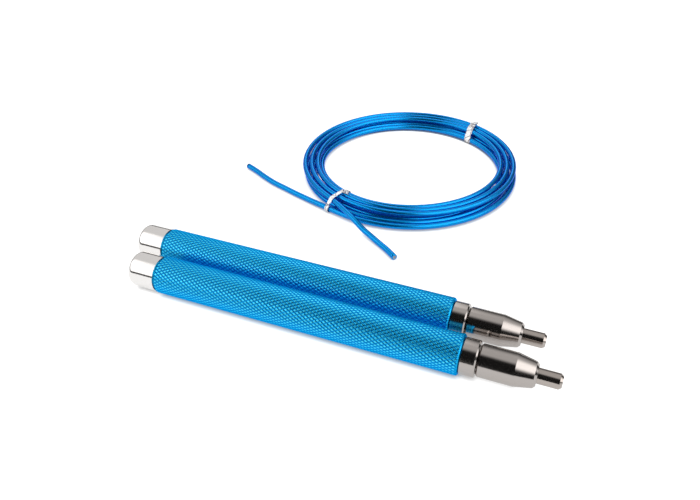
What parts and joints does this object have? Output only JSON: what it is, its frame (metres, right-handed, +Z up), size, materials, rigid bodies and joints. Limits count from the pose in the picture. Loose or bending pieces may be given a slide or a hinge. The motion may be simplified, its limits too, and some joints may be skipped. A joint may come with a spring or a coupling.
{
  "type": "jump rope",
  "caption": "Speed jump rope: knurled blue metal handles with ball-bearing spinning heads that grip a cable between balls and a cone, and the coated steel cable coiled and tied beside them.",
  "frame": {"origin": "on the floor, below the middle of the two handles' box", "axes": "+X along the handles towards the heads, +Y from the right handle to the left one and on to the coil, +Z up from the floor the set lies on"},
  "size_m": [0.1904, 0.2134, 0.016],
  "materials": {
    "anodised_tube": "knurled and anodised bright blue",
    "polished_cap": "turned and polished",
    "gunmetal": "polished dark nickel plate",
    "bearing_steel": "ground and polished",
    "cage_brass": "pressed, bright",
    "turned_steel": "turned, bright",
    "spring_steel": "drawn wire",
    "coated_cable": "clear blue coating over twisted steel wire",
    "tie_foil": "crumpled white and silver foil over wire"
  },
  "bodies": {
    "handles": {"right_grip_tube": "anodised_tube", "right_end_cap": "polished_cap", "right_collar": "gunmetal", "right_front_bearing_outer_ring": "bearing_steel", "right_back_bearing_outer_ring": "bearing_steel", "left_grip_tube": "anodised_tube", "left_end_cap": "polished_cap", "left_collar": "gunmetal", "left_front_bearing_outer_ring": "bearing_steel", "left_back_bearing_outer_ring": "bearing_steel", "cable_coil": "coated_cable", "cable_left_tail": "coated_cable", "cable_right_tail": "coated_cable", "near_twist_tie": "tie_foil", "far_twist_tie": "tie_foil"},
    "right_head": {"right_head": "gunmetal", "right_spindle": "turned_steel", "right_lock_nut": "turned_steel", "right_bearing_spacer": "turned_steel", "right_front_bearing_inner_ring": "bearing_steel", "right_back_bearing_inner_ring": "bearing_steel", "right_plunger_spring": "spring_steel"},
    "right_ball_cages": {"right_front_bearing_balls": "bearing_steel", "right_front_bearing_cage": "cage_brass", "right_back_bearing_balls": "bearing_steel", "right_back_bearing_cage": "cage_brass"},
    "right_plunger": {"right_release_plunger": "turned_steel", "right_grip_balls": "bearing_steel"},
    "left_head": {"left_head": "gunmetal", "left_spindle": "turned_steel", "left_lock_nut": "turned_steel", "left_bearing_spacer": "turned_steel", "left_front_bearing_inner_ring": "bearing_steel", "left_back_bearing_inner_ring": "bearing_steel", "left_plunger_spring": "spring_steel"},
    "left_ball_cages": {"left_front_bearing_balls": "bearing_steel", "left_front_bearing_cage": "cage_brass", "left_back_bearing_balls": "bearing_steel", "left_back_bearing_cage": "cage_brass"},
    "left_plunger": {"left_release_plunger": "turned_steel", "left_grip_balls": "bearing_steel"}
  },
  "joints": [
    {"name": "right_head_spin", "type": "hinge", "parent": "handles", "child": "right_head", "pos_m": [0.0651, -0.00955, 0.008], "axis": [1, 0, 0], "continuous": true},
    {"name": "right_cage_spin", "type": "hinge", "parent": "handles", "child": "right_ball_cages", "pos_m": [0.0572, -0.00955, 0.008], "axis": [1, 0, 0], "continuous": true},
    {"name": "right_plunger_press", "type": "slide", "parent": "right_head", "child": "right_plunger", "axis": [-1, 0, 0], "range_m": [0, 0.0025], "stiffness_N_per_m": 400, "springref_m": -0.004, "deforming": ["right_plunger_spring"]},
    {"name": "left_head_spin", "type": "hinge", "parent": "handles", "child": "left_head", "pos_m": [0.0562, 0.00955, 0.008], "axis": [1, 0, 0], "continuous": true},
    {"name": "left_cage_spin", "type": "hinge", "parent": "handles", "child": "left_ball_cages", "pos_m": [0.0483, 0.00955, 0.008], "axis": [1, 0, 0], "continuous": true},
    {"name": "left_plunger_press", "type": "slide", "parent": "left_head", "child": "left_plunger", "axis": [-1, 0, 0], "range_m": [0, 0.0025], "stiffness_N_per_m": 400, "springref_m": -0.004, "deforming": ["left_plunger_spring"]}
  ],
  "couplings": [
    {"joint": "right_cage_spin", "follows": "right_head_spin", "ratio": 0.3875},
    {"joint": "left_cage_spin", "follows": "left_head_spin", "ratio": 0.3875}
  ]
}
